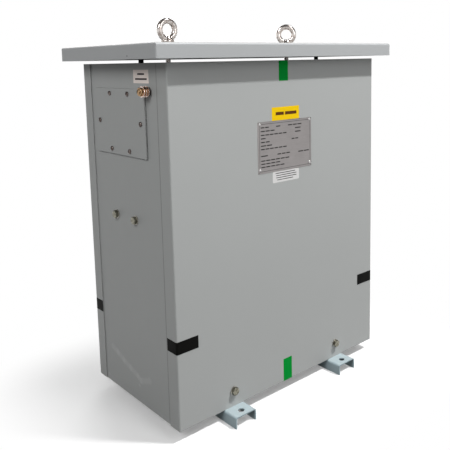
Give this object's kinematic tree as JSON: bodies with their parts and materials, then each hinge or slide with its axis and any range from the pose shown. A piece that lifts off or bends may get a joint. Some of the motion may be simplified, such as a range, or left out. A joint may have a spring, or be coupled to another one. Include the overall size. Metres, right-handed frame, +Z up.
{
  "type": "ventilated dry-type transformer enclosure",
  "caption": "Free-standing light grey sheet-steel transformer enclosure on two channel feet, with an overhanging lid, lifting eyes, an earth stud and a blank gland plate.",
  "frame": {"origin": "on the floor, under the middle of the lid and of the feet", "axes": "+Z up; +X to the right along the front cover; the front cover faces -Y"},
  "size_m": [0.7, 0.419, 0.874],
  "materials": {
    "enclosure_paint": "light grey powder coat, satin",
    "foot_paint": "pale blue-grey paint, satin",
    "frame_steel": "dark primer, matt",
    "gasket_rubber": "black sheet rubber",
    "zinc_plate": "bright zinc plate",
    "brass": "turned brass, lightly tarnished",
    "plate_aluminium": "dull anodised sheet"
  },
  "bodies": {
    "root": {"front_cover": "enclosure_paint", "rear_cover": "enclosure_paint", "left_side_panel": "enclosure_paint", "right_side_panel": "enclosure_paint", "lid": "enclosure_paint", "base_pan": "enclosure_paint", "base_grille": "enclosure_paint", "foot_left": "foot_paint", "foot_right": "foot_paint", "corner_post_front_left": "frame_steel", "corner_post_front_right": "frame_steel", "corner_post_rear_left": "frame_steel", "corner_post_rear_right": "frame_steel", "top_rail_front": "frame_steel", "top_rail_rear": "frame_steel", "top_rail_left": "frame_steel", "top_rail_right": "frame_steel", "lifting_beam": "frame_steel", "lid_spacers": "frame_steel", "side_brace_left": "frame_steel", "side_brace_right": "frame_steel", "gland_gasket": "gasket_rubber", "gland_plate": "enclosure_paint", "gland_screws": "zinc_plate", "earth_stud": "brass", "earth_washers": "brass", "earth_nuts": "brass", "lifting_eye_left": "zinc_plate", "lifting_eye_right": "zinc_plate", "eye_washers": "zinc_plate", "eye_nuts": "zinc_plate", "front_cover_bolts": "zinc_plate", "rear_cover_bolts": "zinc_plate", "left_side_bolts": "zinc_plate", "right_side_bolts": "zinc_plate", "rating_plate": "plate_aluminium"}
  },
  "joints": []
}
